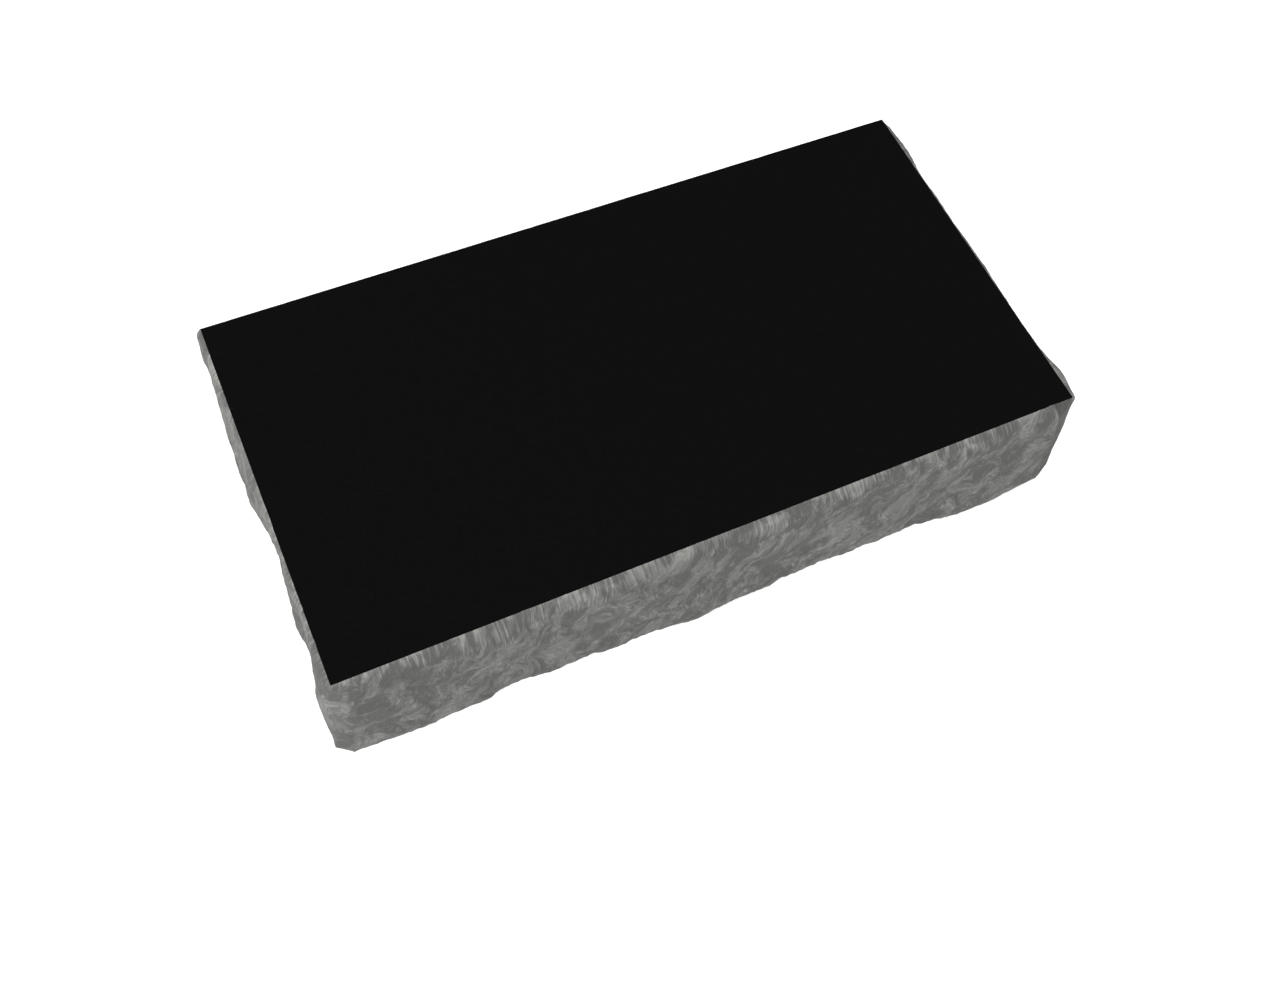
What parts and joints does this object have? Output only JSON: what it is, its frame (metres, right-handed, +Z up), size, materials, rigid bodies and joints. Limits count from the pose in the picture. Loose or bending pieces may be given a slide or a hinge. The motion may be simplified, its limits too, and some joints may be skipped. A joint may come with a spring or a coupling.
{
  "type": "leatherworking granite slab",
  "caption": "Heavy block of black granite with a flat polished face to stamp, carve and punch leather on, rock-pitched sides and a sawn base.",
  "frame": {"origin": "in the plane of the underside, straight below the middle of the polished face", "axes": "+X along the slab's length, +Y from the front long side to the back one, +Z up out of the polished face"},
  "size_m": [0.6389, 0.3572, 0.1016],
  "materials": {
    "black_granite": "polished top, rock-pitched sides, sawn underside"
  },
  "bodies": {
    "root": {"granite_slab": "black_granite"}
  },
  "joints": []
}
